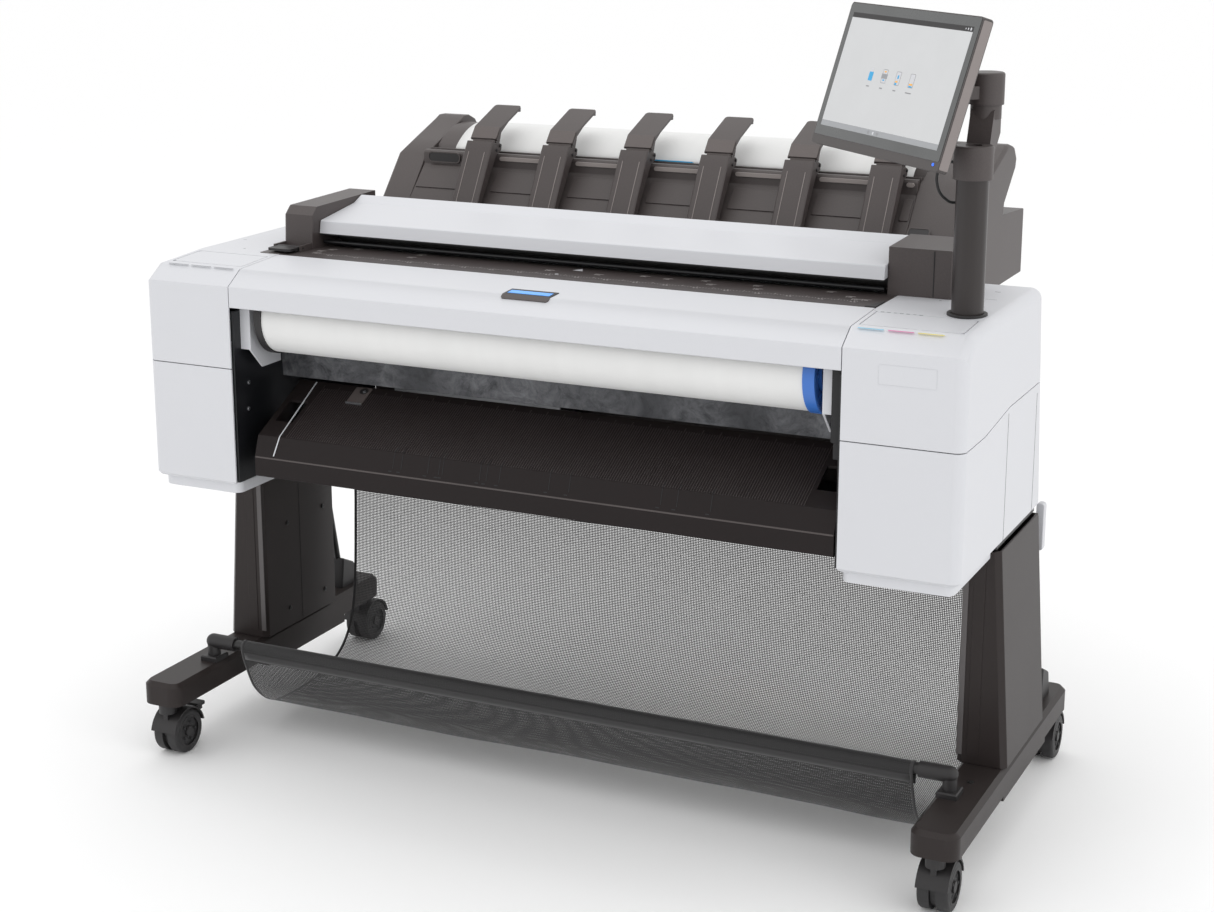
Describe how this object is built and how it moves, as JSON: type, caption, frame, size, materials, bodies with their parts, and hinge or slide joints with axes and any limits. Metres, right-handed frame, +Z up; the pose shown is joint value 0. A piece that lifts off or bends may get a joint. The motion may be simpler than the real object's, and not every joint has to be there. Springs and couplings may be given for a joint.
{
  "type": "large format plotter",
  "caption": "Wide printer and scanner on a wheeled stand, with a paper roll bay, rear output stacker, mesh basket and a touch screen on a swivel pole.",
  "frame": {"origin": "centre of the bounding box at floor level, under the casters", "axes": "+X to the user's right along the machine, +Y to its back, +Z up"},
  "size_m": [1.416, 0.86, 1.2716],
  "materials": {
    "stand_metal": "satin dark brown powder coat",
    "black_steel": "satin black",
    "bar_metal": "black powder coat",
    "mesh": "open woven polyester mesh",
    "black_plastic": "fine texture",
    "wheel_black": "hard matte",
    "cover_white": "fine texture, cool white",
    "dark_plastic": "fine texture, brown grey",
    "tray_brown": "fine texture, dark brown",
    "bay_steel": "mottled dark zinc",
    "bracket_white": "satin white",
    "paper": "coated paper",
    "hub_blue": "satin blue",
    "roller_rubber": "matte",
    "bare_steel": "zinc plated",
    "ink_plastic": "satin",
    "scan_glass": "clear",
    "screen_black": "dark grey, glass front",
    "cable_black": "matte sheath"
  },
  "bodies": {
    "chassis": {"feet": "stand_metal", "stand_columns": "stand_metal", "base_pan": "black_steel", "basket_fabric": "mesh", "basket_fittings": "black_plastic", "basket_bars": "bar_metal", "side_cover_left": "cover_white", "side_cover_right": "cover_white", "ink_cartridges": "ink_plastic", "side_plates": "black_steel", "rear_cover": "dark_plastic", "bay_back": "bay_steel", "roll_brackets": "bracket_white", "platen": "black_plastic", "carriage_rail": "bare_steel", "carriage_belt": "roller_rubber", "belt_motor": "bare_steel", "electronics_box": "bare_steel", "scan_bed": "tray_brown", "scan_glass": "scan_glass", "scan_sensor": "black_plastic", "lid_end_caps": "dark_plastic", "stacker_shell": "dark_plastic", "stacker_ears": "dark_plastic", "output_sheet": "paper", "stacker_arms": "dark_plastic", "screen_pole": "stand_metal"},
    "caster_front_left": {"caster_housing_front_left": "black_plastic"},
    "caster_front_right": {"caster_housing_front_right": "black_plastic"},
    "caster_rear_left": {"caster_housing_rear_left": "black_plastic"},
    "caster_rear_right": {"caster_housing_rear_right": "black_plastic"},
    "wheels_front_left": {"caster_wheels_front_left": "wheel_black"},
    "wheels_front_right": {"caster_wheels_front_right": "wheel_black"},
    "wheels_rear_left": {"caster_wheels_rear_left": "wheel_black"},
    "wheels_rear_right": {"caster_wheels_rear_right": "wheel_black"},
    "brake_front_left": {"caster_brake_front_left": "black_plastic"},
    "brake_front_right": {"caster_brake_front_right": "black_plastic"},
    "roll_cover": {"roll_cover": "cover_white"},
    "scanner_lid": {"scanner_lid": "cover_white"},
    "ink_door_left": {"ink_door_left": "cover_white"},
    "ink_door_right": {"ink_door_right": "cover_white"},
    "paper_roll": {"roll_spindle": "black_plastic", "roll_hub": "hub_blue", "roll_paper": "paper"},
    "drawer": {"loading_drawer": "tray_brown"},
    "feed_roller": {"feed_roller": "roller_rubber"},
    "carriage": {"print_carriage": "black_plastic"},
    "scan_roller": {"scan_roller": "roller_rubber"},
    "scan_lever": {"scan_lever": "black_plastic"},
    "screen_arm": {"swivel_arm": "dark_plastic", "screen_cable": "cable_black"},
    "screen_head": {"swivel_head": "dark_plastic"},
    "screen": {"screen_housing": "screen_black", "screen_mount": "black_plastic"},
    "flap_1": {"stacker_flap_1": "dark_plastic"},
    "flap_2": {"stacker_flap_2": "dark_plastic"},
    "flap_3": {"stacker_flap_3": "dark_plastic"},
    "flap_4": {"stacker_flap_4": "dark_plastic"},
    "flap_5": {"stacker_flap_5": "dark_plastic"},
    "flap_6": {"stacker_flap_6": "dark_plastic"}
  },
  "joints": [
    {"name": "front_left_swivel", "type": "hinge", "parent": "chassis", "child": "caster_front_left", "pos_m": [-0.6715, -0.408, 0.1], "axis": [0, 0, 1], "continuous": true},
    {"name": "front_left_wheels", "type": "hinge", "parent": "caster_front_left", "child": "wheels_front_left", "pos_m": [-0.6715, -0.383, 0.0375], "axis": [1, 0, 0], "continuous": true},
    {"name": "front_left_brake", "type": "hinge", "parent": "caster_front_left", "child": "brake_front_left", "pos_m": [-0.6715, -0.3435, 0.0665], "axis": [-1, 0, 0], "range_deg": [0, 18]},
    {"name": "front_right_swivel", "type": "hinge", "parent": "chassis", "child": "caster_front_right", "pos_m": [0.6715, -0.408, 0.1], "axis": [0, 0, 1], "continuous": true},
    {"name": "front_right_wheels", "type": "hinge", "parent": "caster_front_right", "child": "wheels_front_right", "pos_m": [0.6715, -0.383, 0.0375], "axis": [1, 0, 0], "continuous": true},
    {"name": "front_right_brake", "type": "hinge", "parent": "caster_front_right", "child": "brake_front_right", "pos_m": [0.6715, -0.3435, 0.0665], "axis": [-1, 0, 0], "range_deg": [0, 18]},
    {"name": "rear_left_swivel", "type": "hinge", "parent": "chassis", "child": "caster_rear_left", "pos_m": [-0.6715, 0.202, 0.1], "axis": [0, 0, 1], "continuous": true},
    {"name": "rear_left_wheels", "type": "hinge", "parent": "caster_rear_left", "child": "wheels_rear_left", "pos_m": [-0.6715, 0.227, 0.0375], "axis": [1, 0, 0], "continuous": true},
    {"name": "rear_right_swivel", "type": "hinge", "parent": "chassis", "child": "caster_rear_right", "pos_m": [0.6715, 0.202, 0.1], "axis": [0, 0, 1], "continuous": true},
    {"name": "rear_right_wheels", "type": "hinge", "parent": "caster_rear_right", "child": "wheels_rear_right", "pos_m": [0.6715, 0.227, 0.0375], "axis": [1, 0, 0], "continuous": true},
    {"name": "roll_cover_hinge", "type": "hinge", "parent": "chassis", "child": "roll_cover", "pos_m": [0, -0.251, 0.8464], "axis": [-1, 0, 0], "range_deg": [0, 60]},
    {"name": "scanner_lid_hinge", "type": "hinge", "parent": "chassis", "child": "scanner_lid", "pos_m": [0, -0.059, 0.868], "axis": [-1, 0, 0], "range_deg": [0, 35]},
    {"name": "ink_door_left_hinge", "type": "hinge", "parent": "chassis", "child": "ink_door_left", "pos_m": [-0.6, -0.2705, 0.8454], "axis": [-1, 0, 0], "range_deg": [0, 65]},
    {"name": "ink_door_right_hinge", "type": "hinge", "parent": "chassis", "child": "ink_door_right", "pos_m": [0.6, -0.2705, 0.8454], "axis": [-1, 0, 0], "range_deg": [0, 65]},
    {"name": "roll_turn", "type": "hinge", "parent": "chassis", "child": "paper_roll", "pos_m": [0, -0.315, 0.764], "axis": [1, 0, 0], "continuous": true},
    {"name": "drawer_slide", "type": "slide", "parent": "chassis", "child": "drawer", "axis": [0, -1, 0], "range_m": [0, 0.18]},
    {"name": "feed_roller_turn", "type": "hinge", "parent": "chassis", "child": "feed_roller", "pos_m": [0, -0.183, 0.652], "axis": [1, 0, 0], "continuous": true},
    {"name": "carriage_slide", "type": "slide", "parent": "chassis", "child": "carriage", "axis": [-1, 0, 0], "range_m": [0, 0.84]},
    {"name": "scan_roller_turn", "type": "hinge", "parent": "chassis", "child": "scan_roller", "pos_m": [0, -0.1, 0.8586], "axis": [1, 0, 0], "continuous": true},
    {"name": "scan_lever_hinge", "type": "hinge", "parent": "chassis", "child": "scan_lever", "pos_m": [-0.5265, -0.208, 0.853], "axis": [-1, 0, 0], "range_deg": [0, 30]},
    {"name": "flap_1_hinge", "type": "hinge", "parent": "chassis", "child": "flap_1", "pos_m": [-0.353, 0.163, 0.99], "axis": [-1, 0, 0], "range_deg": [0, 20]},
    {"name": "flap_2_hinge", "type": "hinge", "parent": "chassis", "child": "flap_2", "pos_m": [-0.2045, 0.163, 0.99], "axis": [-1, 0, 0], "range_deg": [0, 20]},
    {"name": "flap_3_hinge", "type": "hinge", "parent": "chassis", "child": "flap_3", "pos_m": [-0.056, 0.163, 0.99], "axis": [-1, 0, 0], "range_deg": [0, 20]},
    {"name": "flap_4_hinge", "type": "hinge", "parent": "chassis", "child": "flap_4", "pos_m": [0.0925, 0.163, 0.99], "axis": [-1, 0, 0], "range_deg": [0, 20]},
    {"name": "flap_5_hinge", "type": "hinge", "parent": "chassis", "child": "flap_5", "pos_m": [0.241, 0.163, 0.99], "axis": [-1, 0, 0], "range_deg": [0, 20]},
    {"name": "flap_6_hinge", "type": "hinge", "parent": "chassis", "child": "flap_6", "pos_m": [0.3895, 0.163, 0.99], "axis": [-1, 0, 0], "range_deg": [0, 20]},
    {"name": "arm_swivel", "type": "hinge", "parent": "chassis", "child": "screen_arm", "pos_m": [0.637, -0.239, 1.05], "axis": [0, 0, 1], "range_deg": [-60, 60]},
    {"name": "head_swivel", "type": "hinge", "parent": "screen_arm", "child": "screen_head", "pos_m": [0.637, -0.186, 1.15], "axis": [0, 0, 1], "range_deg": [-60, 60]},
    {"name": "screen_tilt", "type": "hinge", "parent": "screen_head", "child": "screen", "pos_m": [0.58998, -0.23786, 1.1585], "axis": [0.7408, -0.6717, 0], "range_deg": [-25, 20]}
  ]
}
